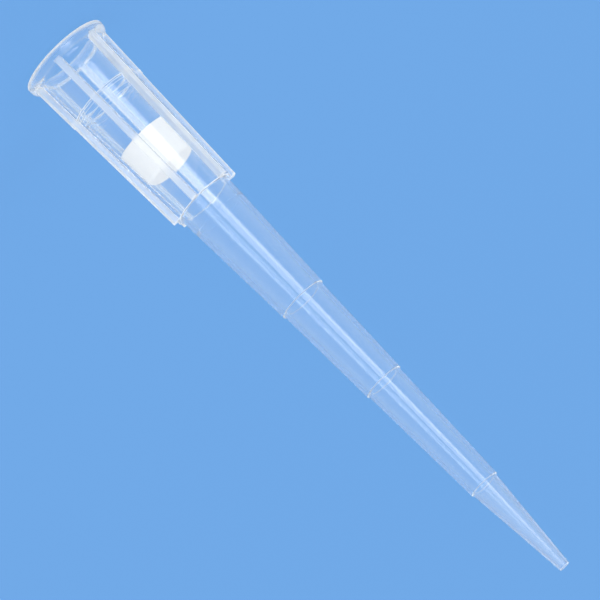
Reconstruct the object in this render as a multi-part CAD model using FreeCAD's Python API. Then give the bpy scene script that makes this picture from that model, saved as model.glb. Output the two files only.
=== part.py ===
import FreeCAD, Part
import math
import os

# A filtered pipette tip, in millimetres. It stands on the rim of its open end: the origin is the
# centre of the rim's face, and +Z runs along the tip towards the dispensing end.

# Bore of the socket, which grips the pipette's nozzle
seal_radius = 2.43          # parallel land that seals on the nozzle
seal_length = 0.6
seal_depth = 5.4            # from the rim's face to the land
shoulder_rise = 0.11        # how far the land stands in from the bore before it
shoulder_length = 0.45      # the slope up to the land
entry_widening = 0.07       # gained from the shoulder out to the lead-in
lead_in_length = 0.5        # the flare at the mouth
lead_in_widening = 0.19
shelf_bore_radius = 2.06    # bore level with the end of the socket

# Outside of the socket
socket_length = 15.46       # from the rim's face to the shelf where the tube begins
seal_wall = 0.5             # wall round the land
shelf_width = 0.28          # how far the socket stands out over the tube
parting_depth = 4.66        # where the halves of the mould meet, from the rim's face
parting_step = 0.05         # what the outside loses there

# Ribs along the socket
rib_count = 6
rib_width = 0.54
rib_height = 0.48
rib_parting_lag = 0.29      # how far past the wall's own parting line the ribs step in

# Rim, on which the tip stands
rim_height = 0.82
rim_lip = 0.105             # how far the rim stands out over the ribs
rim_face_round = 0.12
rim_back_round = 0.46

# Tube: four tapered stages, each of the first three ending in a small step that marks a volume
root_length = 10.64         # from the shelf to the 100 microlitre mark
hundred_length = 8.7        # from there to the 50 microlitre mark
fifty_length = 10.7         # from there to the 10 microlitre mark
point_length = 8.5          # from there to the orifice
root_wall = 0.30            # wall of the tube at the shelf
hundred_mark_radius = 1.975
fifty_mark_radius = 1.655
ten_mark_radius = 1.255
point_radius = 0.43
mark_step = 0.10
hundred_wall = 0.31         # wall just past each mark
fifty_wall = 0.26
ten_wall = 0.24
point_wall = 0.195
point_round = 0.05          # outer edge of the orifice

# Small step in the bore, where the core pins of the mould meet
core_step = 0.05
core_step_lag = 1.64        # past the shelf

# Filter: a plug of sintered plastic that the narrowing bore holds
filter_length = 3.12
filter_gap = 2.9            # from the end of the land to the filter
filter_clearance = 0.02     # between the plug and the bore
filter_round = 0.12

# Places along the tip
seal_end = seal_depth + seal_length
shoulder_start = seal_depth - shoulder_length
core_step_place = socket_length + core_step_lag
hundred_mark = socket_length + root_length
fifty_mark = hundred_mark + hundred_length
ten_mark = fifty_mark + fifty_length
tip_length = ten_mark + point_length

# Radii that follow
root_radius = shelf_bore_radius + root_wall
socket_end_radius = root_radius + shelf_width
entry_radius = seal_radius + shoulder_rise
lead_in_radius = entry_radius + entry_widening
mouth_radius = lead_in_radius + lead_in_widening


def along(z, start, end):
    """The radius at z on the straight line between two (radius, z) points."""
    share = (z - start[1]) / (end[1] - start[1])
    return start[0] + share * (end[0] - start[0])


def wall_radius(z):
    """The outside of the socket's wall between the parting line and the shelf, carried on to z."""
    return along(z, (seal_radius + seal_wall, seal_depth), (socket_end_radius, socket_length))


def bore_radius(z):
    """The bore between the land and the shelf, carried on to z."""
    return along(z, (seal_radius, seal_end), (shelf_bore_radius, socket_length))


def point_at(radius, z):
    return FreeCAD.Vector(radius, 0, z)


def straight(points):
    """Edges that join (radius, z) points in turn."""
    corners = [point_at(*p) for p in points]
    return [Part.LineSegment(a, b).toShape() for a, b in zip(corners, corners[1:])]


def rounding(centre, radius, start_angle, end_angle):
    """An arc about a (radius, z) centre, and its two ends. Angles run from the outward direction."""
    def at(angle):
        turn = math.radians(angle)
        return centre[0] + radius * math.cos(turn), centre[1] + radius * math.sin(turn)

    middle = (start_angle + end_angle) / 2
    start, end = at(start_angle), at(end_angle)
    arc = Part.Arc(point_at(*start), point_at(*at(middle)), point_at(*end))
    return arc.toShape(), start, end


def turned(edges):
    """The solid that a closed outline in the XZ plane makes when it is turned about Z."""
    face = Part.Face(Part.Wire(Part.__sortEdges__(edges)))
    return face.revolve(FreeCAD.Vector(0, 0, 0), FreeCAD.Vector(0, 0, 1), 360)


def rim_radius():
    return wall_radius(0) + parting_step + rib_height + rim_lip


def outside():
    """The outside of the tip from the rim's face to the orifice, without the ribs."""
    rim = rim_radius()
    face_round = min(rim_face_round, rim_height / 3)
    back_round = min(rim_back_round, rim_height - face_round - rim_height / 20)
    face_arc, face_start, face_end = rounding((rim - face_round, face_round), face_round, -90, 0)
    back_arc, back_start, back_end = rounding(
        (rim - back_round, rim_height - back_round), back_round, 0, 90)
    end_arc, end_start, end_end = rounding(
        (point_radius - point_round, tip_length - point_round), point_round, 0, 90)
    return [
        *straight([(mouth_radius, 0), face_start]),
        face_arc,
        *straight([face_end, back_start]),
        back_arc,
        *straight([
            back_end,
            (wall_radius(rim_height) + parting_step, rim_height),
            (wall_radius(parting_depth) + parting_step, parting_depth),
            (wall_radius(parting_depth), parting_depth),
            (socket_end_radius, socket_length),
            (root_radius, socket_length),
            (hundred_mark_radius, hundred_mark),
            (hundred_mark_radius - mark_step, hundred_mark),
            (fifty_mark_radius, fifty_mark),
            (fifty_mark_radius - mark_step, fifty_mark),
            (ten_mark_radius, ten_mark),
            (ten_mark_radius - mark_step, ten_mark),
            end_start,
        ]),
        end_arc,
        *straight([end_end, (point_radius - point_wall, tip_length)]),
    ]


def inside():
    """The bore, from the orifice back to the mouth."""
    core_radius = bore_radius(core_step_place)
    return straight([
        (point_radius - point_wall, tip_length),
        (ten_mark_radius - mark_step - ten_wall, ten_mark),
        (fifty_mark_radius - mark_step - fifty_wall, fifty_mark),
        (hundred_mark_radius - mark_step - hundred_wall, hundred_mark),
        (core_radius - core_step, core_step_place),
        (core_radius, core_step_place),
        (seal_radius, seal_end),
        (seal_radius, seal_depth),
        (entry_radius, shoulder_start),
        (lead_in_radius, lead_in_length),
        (mouth_radius, 0),
    ])


def rib():
    """One rib along the socket, on the +X side, rooted in the wall and in the rim."""
    rib_parting = parting_depth + rib_parting_lag
    root = rim_height / 2
    sunk = seal_wall / 2
    outline = straight([
        (wall_radius(root) - sunk, root),
        (wall_radius(root) + rib_height + parting_step, root),
        (wall_radius(rib_parting) + rib_height + parting_step, rib_parting),
        (wall_radius(rib_parting) + rib_height, rib_parting),
        (socket_end_radius + rib_height, socket_length),
        (socket_end_radius - shelf_width / 2, socket_length),
        (wall_radius(root) - sunk, root),
    ])
    slab = Part.Face(Part.Wire(outline)).extrude(FreeCAD.Vector(0, rib_width, 0))
    slab.translate(FreeCAD.Vector(0, -rib_width / 2, 0))
    return slab


def tip_body():
    """The moulded tip: rim, ribbed socket and stepped tube in one piece."""
    body = turned(outside() + inside())
    for i in range(rib_count):
        one = rib()
        one.rotate(FreeCAD.Vector(0, 0, 0), FreeCAD.Vector(0, 0, 1), 360 * i / rib_count)
        body = body.fuse(one)
    return body.removeSplitter().Solids[0]


def filter_plug():
    """The filter, tapered to follow the bore that holds it."""
    top = seal_end + filter_gap
    end = top + filter_length
    wide = bore_radius(top) - filter_clearance
    narrow = bore_radius(end) - filter_clearance
    plug = Part.makeCone(wide, narrow, filter_length, point_at(0, top))
    rims = [e for e in plug.Edges if e.Closed]
    return plug.makeFillet(min(filter_round, filter_length / 3), rims).Solids[0]


def export(shape, name):
    shape.exportStep(os.path.join("parts", name + ".step"))


os.makedirs("parts", exist_ok=True)
export(tip_body(), "tip_body")
export(filter_plug(), "filter_plug")
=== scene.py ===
import math

import bmesh
import bpy
from mathutils import Matrix, Vector


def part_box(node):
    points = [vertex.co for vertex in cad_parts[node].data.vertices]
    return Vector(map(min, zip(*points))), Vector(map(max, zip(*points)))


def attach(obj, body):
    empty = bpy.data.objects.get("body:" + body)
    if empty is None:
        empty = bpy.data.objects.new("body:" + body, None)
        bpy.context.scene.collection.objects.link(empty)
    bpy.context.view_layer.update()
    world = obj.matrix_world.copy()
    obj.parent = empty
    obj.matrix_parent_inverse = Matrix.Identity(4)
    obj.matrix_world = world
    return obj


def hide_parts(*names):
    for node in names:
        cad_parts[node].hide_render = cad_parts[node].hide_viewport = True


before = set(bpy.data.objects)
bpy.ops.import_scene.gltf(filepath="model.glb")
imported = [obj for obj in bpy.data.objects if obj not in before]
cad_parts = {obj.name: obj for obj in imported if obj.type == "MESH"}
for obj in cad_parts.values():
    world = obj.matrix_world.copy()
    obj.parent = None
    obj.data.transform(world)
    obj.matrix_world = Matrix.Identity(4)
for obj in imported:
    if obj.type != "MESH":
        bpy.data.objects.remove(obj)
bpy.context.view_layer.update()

# A filtered pipette tip standing on the rim of its open end. The sizes are those of the moulded
# part, in millimetres; each mesh is brought to metres when it is finished. Depths and places are
# measured along the tip from the rim's face.

# Bore of the socket, which grips the pipette's nozzle
seal_radius = 2.43          # parallel land that seals on the nozzle
seal_length = 0.6
seal_depth = 5.4
shoulder_rise = 0.11        # how far the land stands in from the bore before it
shoulder_length = 0.45
entry_widening = 0.07
lead_in_length = 0.5
lead_in_widening = 0.19
shelf_bore_radius = 2.06    # bore level with the end of the socket

# Outside of the socket
socket_length = 15.46       # to the shelf where the tube begins
seal_wall = 0.5
shelf_width = 0.28
parting_depth = 4.66        # where the halves of the mould meet
parting_step = 0.05

# Ribs along the socket
rib_count = 6
rib_width = 0.54
rib_height = 0.48
rib_parting_lag = 0.29      # how far past the wall's own parting line the ribs step in

# Rim, on which the tip stands
rim_height = 0.82
rim_lip = 0.105             # how far the rim stands out over the ribs
rim_face_round = 0.08
rim_back_round = 0.46
rim_side_start = 0.12       # the rim's straight side between its roundings
rim_side_end = 0.33

# Tube, in four tapered stages
root_length = 10.64
hundred_length = 8.7
fifty_length = 10.7
point_length = 8.5
root_wall = 0.30
hundred_mark_radius = 1.975
fifty_mark_radius = 1.655
ten_mark_radius = 1.255
point_radius = 0.43
mark_step = 0.10
hundred_wall = 0.31
fifty_wall = 0.26
ten_wall = 0.24
point_wall = 0.195
point_round = 0.05

# Small step in the bore, where the core pins of the mould meet
core_step = 0.05
core_step_lag = 1.64        # past the shelf
core_step_draw = 0.06       # half the length of its slope

# Filter
filter_length = 3.12
filter_gap = 2.9            # from the end of the land
filter_clearance = 0.02
filter_near_round = 0.12
filter_far_round = 0.32
filter_end_hold = 0.03      # a narrow ring that keeps each flat end flat
filter_sides = 120
filter_round_steps = 8

# Small roundings that moulding leaves
mouth_round = 0.05
rim_foot_round = 0.3
shelf_edge_round = 0.03
shelf_foot_round = 0.06
mark_edge_round = 0.025
core_step_round = 0.04
bore_end_round = 0.02
lead_in_round = 0.3
taper_round = 4.0
shoulder_round = 0.05
shoulder_lead = 0.1         # how much sooner the slope up to the land begins and ends
rib_corner_round = 0.07
rib_root_round = 0.05

# Ridge at the parting line, with its places before and after the line
ridge_start = 0.1
ridge_top = 0.06
ridge_end = 0.05
ridge_height = 0.02
ridge_round = 0.01
ridge_end_round = 0.02

# Where the ribs step in, past the ridge
rib_step_draw = 0.01        # half the length of the slope
rib_step_hold = 0.03        # half the length between the rows that hold it

# Fine line round the land
land_line_start = 5.60
land_line_end = 5.68
land_line_depth = 0.008
land_line_round = 0.02

# Fine grooves that the lathe left in the mould, past the land and round the wall
bore_grooves = (7.82, 7.4, 7.02, 6.74, 6.47, 6.24)
wall_grooves = (5.69, 6.11, 6.92)
groove_depth = 0.02
groove_half_width = 0.04
groove_hold = 0.052         # the rows that keep the wall straight beside a groove

# Whiteness over the walls' own: the share of the light that the plastic scatters there. On the rim,
# the ridge, the shelf, the marks, the orifice, the shoulder and the land line this whiteness is a
# painted highlight, for the bright lines that light catches along those edges. On the ribs it is
# partly the milkiness of the thicker plastic and partly a painted highlight; at the point it is
# milkiness.
face_highlight = 0.42
mouth_highlight = 0.15
rim_edge_highlight = 0.35
rim_side_highlight = 0.08
rim_back_highlight = 0.04
ridge_start_highlight = 0.6
ridge_highlight = 0.9
shelf_highlight = 0.7
mark_highlight = 0.2
mark_foot_highlight = 0.1
point_stage_hold = 0.3      # from each end of the last stage to the rows that hold its milkiness
point_start_milk = 0.03
point_end_milk = 0.06
orifice_highlight = 0.2
shoulder_highlight = 0.5
land_line_highlight = 0.3
rib_top_milk_and_highlight = 0.3
rib_corner_milk_and_highlight = 0.25
rib_side_milk_and_highlight = 0.08
rib_root_milk_and_highlight = 0.12

# How finely the meshes are made
columns_per_half_rib = 30   # columns from the middle of a rib to midway to the next
round_step = 18             # degrees of a rounding between two points
hold_gap = 0.015            # from a rounding to the point that holds the straight run beside it
rib_hold = 0.02             # the same beside a rib's edges and roots
short_run = 2.2             # a run shorter than this many holds gets no such point
quarter_steps = 4           # steps round a rib's edge or root
foot_margin = 0.05          # past the rounding at the rim's foot, where the ribs leave the rim
back_margin = 0.04          # between the ribs and the rounding of the rim's back
wall_margin = 0.1           # less than the wall, to tell its outside from the bore
weld_distance = 0.0004
tolerance = 0.001

# Places along the tip
seal_end = seal_depth + seal_length
shoulder_start = seal_depth - shoulder_length
core_step_place = socket_length + core_step_lag
rib_parting = parting_depth + rib_parting_lag
hundred_mark = socket_length + root_length
fifty_mark = hundred_mark + hundred_length
ten_mark = fifty_mark + fifty_length
tip_length = ten_mark + point_length

# Radii that follow
root_radius = shelf_bore_radius + root_wall
socket_end_radius = root_radius + shelf_width
entry_radius = seal_radius + shoulder_rise
lead_in_radius = entry_radius + entry_widening
mouth_radius = lead_in_radius + lead_in_widening

to_metres = 0.001

# Finishes
plastic_tint = (0.93, 0.97, 1.0, 1)
plastic_index = 1.49
wall_haze = 0.03            # share of the light that the bare wall scatters
slant_haze = 0.1            # more of it where the surface is seen at a slant
plain_roughness = 0.09
milk_roughness = 3.0        # more roughness for each unit of milkiness
most_roughness = 0.6
passing_tint = (0.98, 0.98, 0.98, 1)
filter_white = (0.93, 0.93, 0.93, 1)
filter_roughness = 0.75
grain_scale = 7000
grain_strength = 0.5
grain_height = 0.00004
floor_blue = (0.162, 0.392, 0.791, 1)
floor_grey = (0.75, 0.75, 0.75, 1)
floor_roughness = 0.9

# Studio, in metres and degrees. Turns are counted round the tip from the camera's side.
floor_reach = 3.0
floor_drop = 0.00001
room_grey = (0.75, 0.75, 0.75, 1)
lens_length = 375           # in millimetres, and the sensor's width too
sensor_width = 36
nearest_seen = 0.01
farthest_seen = 20
camera_turn = math.radians(-69)
camera_height = math.radians(12)
camera_roll = math.radians(45.576)
camera_distance = 0.461903
view_centre = 0.025963
view_shift = 0.000187
lamp_distance = 1.5
lamp_height = 0.45
lamp_size = 1.2
lamp_aim = 0.02
lamps = (("key light", -35, 0.48), ("fill light", 70, 0.36), ("back light", 175, 0.29))
box_foot = (0.010, -0.0015)     # how far out and how high the soft box begins
box_head = (0.090, 0.0605)      # and ends
box_width = 0.06
box_strength = 4.5
box_tint = (1.0, 0.94, 0.84)
shade_reach = 0.0156            # how far out its foot counts for the shading
shades = ((0.05, 0), (0.08, 0.55), (0.34, 0.6), (0.42, 1.0), (0.58, 1.0), (0.66, 0))
light_bounces = 64


def along(z, start, end):
    """The radius at z on the straight line between two (radius, z) points."""
    share = (z - start[1]) / (end[1] - start[1])
    return start[0] + share * (end[0] - start[0])


def wall_radius(z):
    """The outside of the socket's wall between the parting line and the shelf, carried on to z."""
    return along(z, (seal_radius + seal_wall, seal_depth), (socket_end_radius, socket_length))


def bore_radius(z):
    """The bore between the land and the shelf, carried on to z."""
    return along(z, (seal_radius, seal_end), (shelf_bore_radius, socket_length))


def point_stage_radius(z):
    """The outside of the last stage."""
    return along(z, (ten_mark_radius - mark_step, ten_mark), (point_radius, tip_length))


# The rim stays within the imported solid, whose round side is made of small flats
packed_side = min(-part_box("tip_body")[0][1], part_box("tip_body")[1][1]) / to_metres
rim_radius = min(wall_radius(0) + parting_step + rib_height + rim_lip, packed_side)


# ---------------------------------------------------------------- making meshes

def wire(bm, corners, milk_and_highlight):
    """A closed wire through (radius, z, rounding, whiteness) corners in the XZ plane, each corner
    rounded and its whiteness kept in a layer. At the edges that whiteness is a painted highlight."""
    points = [bm.verts.new((radius, 0, z)) for radius, z, _, _ in corners]
    for a, b in zip(points, points[1:] + points[:1]):
        bm.edges.new((a, b))
    # the corners' whiteness, a painted highlight along the edges, goes into the layer
    for point, (_, _, rounding, whiteness) in zip(points, corners):
        if rounding:
            for corner in round_corner(bm, point, rounding):
                corner[milk_and_highlight] = whiteness
        else:
            point[milk_and_highlight] = whiteness


def round_corner(bm, point, rounding):
    """Rounds a corner of a wire, and holds the straight runs beside it with close points."""
    runs = [e.other_vert(point).co - point.co for e in point.link_edges]
    half_angle = runs[0].angle(runs[1]) / 2
    cut = rounding / math.tan(half_angle)
    hold = cut + hold_gap
    for edge in list(point.link_edges):
        if edge.calc_length() > short_run * hold:
            bmesh.utils.edge_split(edge, point, hold / edge.calc_length())
    steps = max(2, round((math.pi - 2 * half_angle) / math.radians(round_step)))
    made = bmesh.ops.bevel(bm, geom=[point], offset=cut, offset_type="OFFSET",
                           affect="VERTICES", segments=steps, profile=0.5, material=-1)
    return made["verts"]


def finish_mesh(bm, name, material):
    """Brings a mesh to metres and makes it a smooth-shaded object of its own, with its faces in an
    order that is the same each time."""
    bmesh.ops.recalc_face_normals(bm, faces=bm.faces)
    bm.verts.index_update()
    ordered = sorted(bm.faces, key=lambda face: [v.index for v in face.verts])
    for place, face in enumerate(ordered):
        face.index = place
    bm.faces.sort()
    bmesh.ops.scale(bm, vec=(to_metres,) * 3, verts=bm.verts)
    for face in bm.faces:
        face.smooth = True
    mesh = bpy.data.meshes.new(name)
    bm.to_mesh(mesh)
    bm.free()
    mesh.materials.append(material)
    piece = bpy.data.objects.new(name, mesh)
    bpy.context.scene.collection.objects.link(piece)
    return piece


# ---------------------------------------------------------------- the moulded tip

def grooves(places, radius_at, deeper):
    """Corners of the fine grooves at these places, in the outline's order. They cut outwards into
    the bore, where deeper is 1, and inwards into the wall, where it is -1."""
    rows = []
    for place in places:
        for step, depth in ((groove_hold, 0), (groove_half_width, 0), (0, groove_depth),
                            (-groove_half_width, 0), (-groove_hold, 0)):
            z = place + deeper * step
            rows.append((radius_at(z) + deeper * depth, z, 0, 0))
    return rows


def mark(radius, z):
    """The small step round the tube that marks a volume."""
    return [
        (radius, z, mark_edge_round, mark_highlight),
        (radius - mark_step, z, mark_edge_round, mark_foot_highlight),
    ]


def tip_outline():
    """Corners of the turned form: up the outside from the mouth, and back down the bore."""
    core_radius = bore_radius(core_step_place)
    parting_wall = wall_radius(parting_depth)
    rib_step = (-rib_step_hold, -rib_step_draw, rib_step_draw, rib_step_hold)
    point_start = ten_mark + point_stage_hold
    point_end = tip_length - point_stage_hold
    return [
        (mouth_radius, 0, mouth_round, mouth_highlight),
        (rim_radius, 0, rim_face_round, rim_edge_highlight),
        (rim_radius, rim_side_start, 0, rim_side_highlight),
        (rim_radius, rim_side_end, 0, rim_side_highlight),
        (rim_radius, rim_height, rim_back_round, rim_back_highlight),
        (wall_radius(rim_height) + parting_step, rim_height, rim_foot_round, 0),
        (parting_wall + parting_step, parting_depth - ridge_start, ridge_round, ridge_start_highlight),
        (parting_wall + parting_step + ridge_height, parting_depth - ridge_top, ridge_round,
         ridge_highlight),
        (parting_wall, parting_depth + ridge_end, ridge_end_round, ridge_highlight),
        *[(wall_radius(rib_parting + step), rib_parting + step, 0, 0) for step in rib_step],
        *grooves(wall_grooves, wall_radius, -1),
        (socket_end_radius, socket_length, shelf_edge_round, shelf_highlight),
        (root_radius, socket_length, shelf_foot_round, 0),
        *mark(hundred_mark_radius, hundred_mark),
        *mark(fifty_mark_radius, fifty_mark),
        *mark(ten_mark_radius, ten_mark),
        (point_stage_radius(point_start), point_start, 0, point_start_milk),
        (point_stage_radius(point_end), point_end, 0, point_end_milk),
        (point_radius, tip_length, point_round, orifice_highlight),
        (point_radius - point_wall, tip_length, bore_end_round, orifice_highlight),
        (ten_mark_radius - mark_step - ten_wall, ten_mark, taper_round, 0),
        (fifty_mark_radius - mark_step - fifty_wall, fifty_mark, taper_round, 0),
        (hundred_mark_radius - mark_step - hundred_wall, hundred_mark, taper_round, 0),
        (core_radius - core_step, core_step_place + core_step_draw, core_step_round, 0),
        (core_radius, core_step_place - core_step_draw, core_step_round, 0),
        *grooves(bore_grooves, bore_radius, 1),
        (seal_radius, seal_end, taper_round, 0),
        (seal_radius + land_line_depth, land_line_end, land_line_round, land_line_highlight),
        (seal_radius, land_line_start, land_line_round, 0),
        (seal_radius, seal_depth - shoulder_lead, shoulder_round, shoulder_highlight),
        (entry_radius, shoulder_start - shoulder_lead, shoulder_round, shoulder_highlight),
        (lead_in_radius, lead_in_length, lead_in_round, 0),
    ]


def rib_section():
    """Half of a rib across: (distance from its middle, height over the wall, whiteness) of its
    points, outwards. The whiteness is partly the milkiness of the rib's thicker plastic and partly a
    painted highlight."""
    half = rib_width / 2
    corner = half - rib_corner_round
    quarter = [math.radians(90 * i / quarter_steps) for i in range(quarter_steps + 1)]
    over = [(corner + rib_corner_round * math.sin(a),
             rib_height - rib_corner_round * (1 - math.cos(a)), rib_corner_milk_and_highlight) for a in quarter]
    under = [(half + rib_root_round * (1 - math.cos(a)),
              rib_root_round * (1 - math.sin(a)), rib_root_milk_and_highlight) for a in quarter]
    return [
        (0, rib_height, rib_top_milk_and_highlight),
        (corner / 2, rib_height, rib_top_milk_and_highlight),
        (corner - rib_hold, rib_height, rib_top_milk_and_highlight),
        *over,
        (half, rib_height - rib_corner_round - rib_hold, rib_side_milk_and_highlight),
        (half, rib_root_round + rib_hold, rib_side_milk_and_highlight),
        *under,
        (half + rib_root_round + rib_hold, 0, 0),
    ]


def carried(radius, z, height):
    """Where a point of the turned form goes as a rib of this height passes it: the radius that it
    keeps, and how far it moves out from there."""
    foot = wall_radius(rim_height) + parting_step
    foot_end = rim_foot_round + foot_margin
    back_start = rim_radius - rim_back_round - back_margin
    # before the ribs, past them, and on the back of the rim, which they run into
    if z < rim_height - rim_back_round or z > socket_length + tolerance:
        return radius, 0
    if z < rim_height + tolerance and radius > foot + foot_end:
        return (foot, height) if radius < foot + height else (radius, 0)
    # in the bore
    if radius < wall_radius(z) - wall_margin:
        return radius, 0
    # in the hollow of the rim's foot, and along the wall
    if z < rim_height + foot_end:
        return min(radius, max(back_start - height, foot)), height
    if parting_depth < z < rib_parting:
        height *= 1 + parting_step / rib_height
    return radius, height


def raise_ribs(bm, milk_and_highlight, columns):
    """Moves the columns of the turned form together beside each rib, and its wall outwards."""
    half_rib = rib_section()
    last = len(half_rib) - 1
    for v in bm.verts:
        radius = math.hypot(v.co.x, v.co.y)
        column = round(math.atan2(v.co.y, v.co.x) / math.tau * columns)
        rib = round(column / (2 * columns_per_half_rib))
        place = column - rib * 2 * columns_per_half_rib
        side = -1 if place < 0 else 1
        place = abs(place)
        z = v.co.z
        wall = wall_radius(min(max(z, rim_height), socket_length))
        beside = math.asin(half_rib[last][0] / wall)
        if place <= last:
            turn = math.asin(half_rib[place][0] / wall)
            radius, out = carried(radius, z, half_rib[place][1])
            if out > 0:
                # the rib's whiteness: partly milkiness, partly a painted highlight
                v[milk_and_highlight] = max(v[milk_and_highlight], half_rib[place][2])
        else:
            share = (place - last) / (columns_per_half_rib - last)
            turn = beside + share * (math.pi / rib_count - beside)
            out = 0
        x = radius * math.cos(turn) + out
        y = radius * math.sin(turn) * side
        v.co = Matrix.Rotation(rib * math.tau / rib_count, 3, "Z") @ Vector((x, y, z))


def tip_body(material):
    """The moulded tip: rim, ribbed socket and stepped tube in one closed skin."""
    columns = 2 * columns_per_half_rib * rib_count
    bm = bmesh.new()
    milk_and_highlight = bm.verts.layers.float.new("milk_and_highlight")
    wire(bm, tip_outline(), milk_and_highlight)
    bmesh.ops.spin(bm, geom=bm.verts[:] + bm.edges[:], axis=(0, 0, 1), cent=(0, 0, 0),
                   angle=math.tau, steps=columns, use_merge=True)
    for v in bm.verts:
        # the rim's standing face is whitened as a painted highlight
        if v.co.z < tolerance:
            v[milk_and_highlight] = face_highlight
    raise_ribs(bm, milk_and_highlight, columns)
    bmesh.ops.remove_doubles(bm, verts=bm.verts, dist=weld_distance)
    piece = finish_mesh(bm, "clear_tip", material)
    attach(piece, "root")
    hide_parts("tip_body")
    return piece


# ---------------------------------------------------------------- the filter

def filter_plug(material):
    """The filter: a tapered plug with rounded ends."""
    near = seal_end + filter_gap
    far = near + filter_length
    wide = bore_radius(near) - filter_clearance
    narrow = bore_radius(far) - filter_clearance
    bm = bmesh.new()
    middle = Matrix.Translation((0, 0, (near + far) / 2))
    bmesh.ops.create_cone(bm, cap_ends=True, segments=filter_sides, radius1=wide, radius2=narrow,
                          depth=filter_length, matrix=middle)
    for z, rounding in ((near, filter_near_round), (far, filter_far_round)):
        edge = [e for e in bm.edges if all(abs(v.co.z - z) < tolerance for v in e.verts)]
        bmesh.ops.bevel(bm, geom=edge, offset=rounding, offset_type="OFFSET", affect="EDGES",
                        segments=filter_round_steps, profile=0.5, material=-1)
    ends = [f for f in bm.faces if len(f.verts) > 4]
    bmesh.ops.inset_individual(bm, faces=ends, thickness=filter_end_hold)
    piece = finish_mesh(bm, "white_filter", material)
    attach(piece, "root")
    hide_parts("filter_plug")
    return piece


# ---------------------------------------------------------------- finishes

def new_material(name):
    """A node material, with what is needed to add nodes to it: nodes, links and its shader."""
    material = bpy.data.materials.new(name)
    material.use_nodes = True
    nodes = material.node_tree.nodes
    return material, nodes, material.node_tree.links, nodes["Principled BSDF"]


def add_math(nodes, links, operation, first, second, clamp=False):
    """A Math node on two inputs, each a socket or a number; its output."""
    node = nodes.new("ShaderNodeMath")
    node.operation = operation
    node.use_clamp = clamp
    for socket, value in zip(node.inputs, (first, second)):
        if isinstance(value, (int, float)):
            socket.default_value = value
        else:
            links.new(value, socket)
    return node.outputs["Value"]


def add_attribute(nodes, name):
    """The mesh's own values of this name."""
    node = nodes.new("ShaderNodeAttribute")
    node.attribute_name = name
    return node.outputs["Fac"]


def add_colour_mix(nodes, links, share, plain, seen):
    """A mix of two colours by a share; its output."""
    node = nodes.new("ShaderNodeMix")
    node.data_type = "RGBA"
    node.inputs["A"].default_value = plain
    node.inputs["B"].default_value = seen
    links.new(share, node.inputs["Factor"])
    return node.outputs["Result"]


def seen_directly(nodes, links):
    """1 for a ray from the camera or one that gloss or clear plastic turns, and 0 for soft light."""
    light_path = nodes.new("ShaderNodeLightPath")
    seen = add_math(nodes, links, "MAXIMUM", light_path.outputs["Is Camera Ray"],
                    light_path.outputs["Is Glossy Ray"])
    return add_math(nodes, links, "MAXIMUM", seen, light_path.outputs["Is Transmission Ray"])


def clear_plastic():
    """Clear polypropylene: glossy, with the faint milkiness and fine unevenness of a moulding. The
    ribs are whiter than the walls, partly as thicker plastic is milkier and partly as a painted
    highlight, and the edges carry painted highlights as whiteness. Light on its way to what lies
    behind passes straight through, so that the tip's shadow is as light as a clear tip's."""
    material, nodes, links, shader = new_material("clear polypropylene")
    shader.inputs["Base Color"].default_value = plastic_tint
    shader.inputs["IOR"].default_value = plastic_index
    # the layer holds the ribs' milkiness and the painted highlights along the edges and ribs
    milk_and_highlight = add_attribute(nodes, "milk_and_highlight")
    slant = nodes.new("ShaderNodeLayerWeight")
    haze_and_highlight = add_math(nodes, links, "MULTIPLY", slant.outputs["Facing"], slant_haze)
    haze_and_highlight = add_math(nodes, links, "ADD", haze_and_highlight, wall_haze)
    # here the painted highlights and the ribs' milkiness join the haze
    haze_and_highlight = add_math(nodes, links, "ADD", haze_and_highlight, milk_and_highlight)
    clear = add_math(nodes, links, "SUBTRACT", 1.0, haze_and_highlight, clamp=True)
    links.new(clear, shader.inputs["Transmission Weight"])
    rough = add_math(nodes, links, "MULTIPLY", milk_and_highlight, milk_roughness)
    rough = add_math(nodes, links, "ADD", rough, plain_roughness)
    rough = add_math(nodes, links, "MINIMUM", rough, most_roughness)
    links.new(rough, shader.inputs["Roughness"])
    light_path = nodes.new("ShaderNodeLightPath")
    passing = add_math(nodes, links, "MAXIMUM", light_path.outputs["Is Shadow Ray"],
                       light_path.outputs["Is Diffuse Ray"])
    straight = nodes.new("ShaderNodeBsdfTransparent")
    straight.inputs["Color"].default_value = passing_tint
    mix = nodes.new("ShaderNodeMixShader")
    links.new(passing, mix.inputs["Fac"])
    links.new(shader.outputs["BSDF"], mix.inputs[1])
    links.new(straight.outputs["BSDF"], mix.inputs[2])
    links.new(mix.outputs["Shader"], nodes["Material Output"].inputs["Surface"])
    return material


def filter_plastic():
    """Sintered polyethylene: matt white grains pressed together."""
    material, nodes, links, shader = new_material("sintered polyethylene")
    shader.inputs["Base Color"].default_value = filter_white
    shader.inputs["Roughness"].default_value = filter_roughness
    place = nodes.new("ShaderNodeTexCoord")
    grain = nodes.new("ShaderNodeTexVoronoi")
    grain.inputs["Scale"].default_value = grain_scale
    links.new(place.outputs["Object"], grain.inputs["Vector"])
    bump = nodes.new("ShaderNodeBump")
    bump.inputs["Strength"].default_value = grain_strength
    bump.inputs["Distance"].default_value = grain_height
    links.new(grain.outputs["Distance"], bump.inputs["Height"])
    links.new(bump.outputs["Normal"], shader.inputs["Normal"])
    return material


def floor_paint():
    """Matt pale blue, which lights the tip as a plain grey would."""
    material, nodes, links, shader = new_material("pale blue floor")
    paint = add_colour_mix(nodes, links, seen_directly(nodes, links), floor_grey, floor_blue)
    links.new(paint, shader.inputs["Base Color"])
    shader.inputs["Roughness"].default_value = floor_roughness
    shader.inputs["Specular IOR Level"].default_value = 0
    return material


# ---------------------------------------------------------------- the studio

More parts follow.
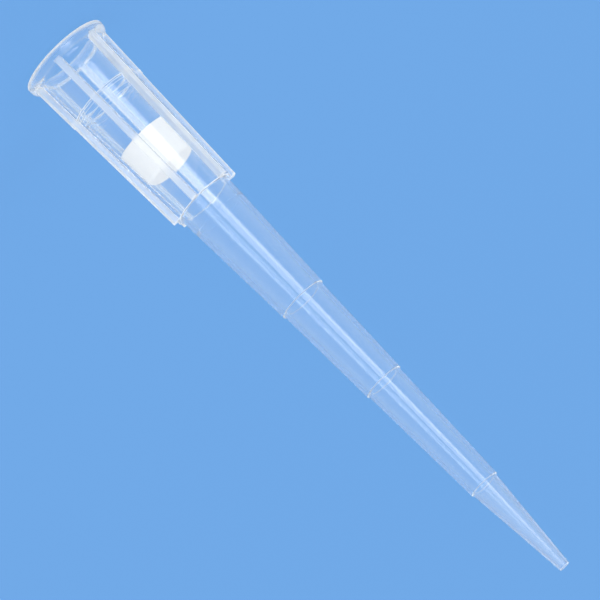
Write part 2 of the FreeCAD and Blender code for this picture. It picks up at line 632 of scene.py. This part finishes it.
def floor():
    """A wide flat floor, a hair under the rim."""
    bm = bmesh.new()
    bmesh.ops.create_grid(bm, x_segments=1, y_segments=1, size=floor_reach)
    bmesh.ops.translate(bm, vec=(0, 0, -floor_drop), verts=bm.verts)
    mesh = bpy.data.meshes.new("floor")
    bm.to_mesh(mesh)
    bm.free()
    mesh.materials.append(floor_paint())
    piece = bpy.data.objects.new("floor", mesh)
    bpy.context.scene.collection.objects.link(piece)


def camera():
    """A long lens that looks slightly down on the tip, rolled so the tip lies across the frame."""
    back = Vector((math.cos(camera_turn) * math.cos(camera_height),
                   math.sin(camera_turn) * math.cos(camera_height), math.sin(camera_height)))
    data = bpy.data.cameras.new("camera")
    data.lens = lens_length
    data.sensor_width = sensor_width
    data.clip_start = nearest_seen
    data.clip_end = farthest_seen
    eye = bpy.data.objects.new("camera", data)
    ahead = -back
    side = ahead.cross(Vector((0, 0, 1))).normalized()
    up = side.cross(ahead)
    across = up.cross(ahead)
    right = math.cos(camera_roll) * up + math.sin(camera_roll) * across
    top = -math.sin(camera_roll) * up + math.cos(camera_roll) * across
    target = Vector((0, 0, view_centre)) - across * view_shift
    eye.matrix_world = Matrix.Translation(target + back * camera_distance) @ Matrix(
        (right, top, back)).transposed().to_4x4()
    bpy.context.scene.collection.objects.link(eye)
    bpy.context.scene.camera = eye


def around(turn, out, height):
    """The place this far out and up, this many degrees round from the camera's side."""
    turn = camera_turn + math.radians(turn)
    return Vector((out * math.cos(turn), out * math.sin(turn), height))


def room():
    """Even light from all round, behind which the floor's blue goes on."""
    world = bpy.data.worlds.new("studio")
    world.use_nodes = True
    nodes = world.node_tree.nodes
    links = world.node_tree.links
    walls = add_colour_mix(nodes, links, seen_directly(nodes, links), room_grey, floor_blue)
    links.new(walls, nodes["Background"].inputs["Color"])
    nodes["Background"].inputs["Strength"].default_value = 1
    bpy.context.scene.world = world


def soft_light(name, place, facing, wide, tall, radiance):
    """A soft rectangular light at this place, facing this way, with its tall side as upright as
    can be. Its radiance is how bright its face is, where 1 is white."""
    data = bpy.data.lights.new(name, "AREA")
    data.shape = "RECTANGLE"
    data.size = wide
    data.size_y = tall
    data.energy = radiance * math.pi * wide * tall
    lamp = bpy.data.objects.new(name, data)
    lamp.location = place
    lamp.rotation_euler = (-Vector(facing)).to_track_quat("Z", "Y").to_euler()
    bpy.context.scene.collection.objects.link(lamp)
    lamp.visible_camera = False
    return lamp


def soft_box():
    """A tall soft box close to the tip, left of the camera, that leans away from it. Only gloss and
    clear plastic show it."""
    left = around(-90, 1, 0)
    foot = around(0, *box_foot)
    head = around(0, *box_head)
    lean = head - foot
    facing = lean.cross(left).normalized()
    if facing.dot(around(0, 1, 0)) > 0:
        facing = -facing
    middle = (foot + head) / 2 + left * box_width / 2
    lamp = soft_light("graded soft box", middle, facing, box_width, lean.length, 1)
    lamp.visible_diffuse = False
    shade_across(lamp.data)


def shade_across(light):
    """Shades the soft box across, by how far round from the camera the tip sees it."""
    light.use_nodes = True
    nodes = light.node_tree.nodes
    links = light.node_tree.links
    place = nodes.new("ShaderNodeNewGeometry")
    split = nodes.new("ShaderNodeSeparateXYZ")
    links.new(place.outputs["Parametric"], split.inputs[0])
    across = add_math(nodes, links, "SUBTRACT", 1.0, split.outputs["X"])
    across = add_math(nodes, links, "MULTIPLY", across, box_width)
    out = add_math(nodes, links, "MULTIPLY", split.outputs["Y"], box_head[0] - box_foot[0])
    out = add_math(nodes, links, "ADD", out, shade_reach)
    ramp = nodes.new("ShaderNodeValToRGB")
    links.new(add_math(nodes, links, "DIVIDE", across, out), ramp.inputs["Fac"])
    while len(ramp.color_ramp.elements) < len(shades):
        ramp.color_ramp.elements.new(0.5)
    for element, (position, level) in zip(ramp.color_ramp.elements, shades):
        element.position = position
        element.color = (level, level, level, 1)
    emission = nodes["Emission"]
    links.new(ramp.outputs["Color"], emission.inputs["Color"])
    emission.inputs["Strength"].default_value = box_strength
    light.color = box_tint


def large_lamps():
    """Large soft lamps round the tip, which gloss and clear plastic don't show. Each one's share is
    how much light it brings to the tip, where 1 turns white paper white."""
    for name, turn, share in lamps:
        place = around(turn, lamp_distance, lamp_height)
        lamp = soft_light(name, place, Vector((0, 0, lamp_aim)) - place, lamp_size, lamp_size,
                          share * math.pi * place.length_squared / lamp_size ** 2)
        lamp.visible_glossy = False
        lamp.visible_transmission = False


scene = bpy.context.scene
scene.view_settings.view_transform = "Standard"
scene.cycles.max_bounces = light_bounces
scene.cycles.transmission_bounces = light_bounces
scene.cycles.glossy_bounces = light_bounces

tip_body(clear_plastic())
filter_plug(filter_plastic())
floor()
camera()
room()
soft_box()
large_lamps()
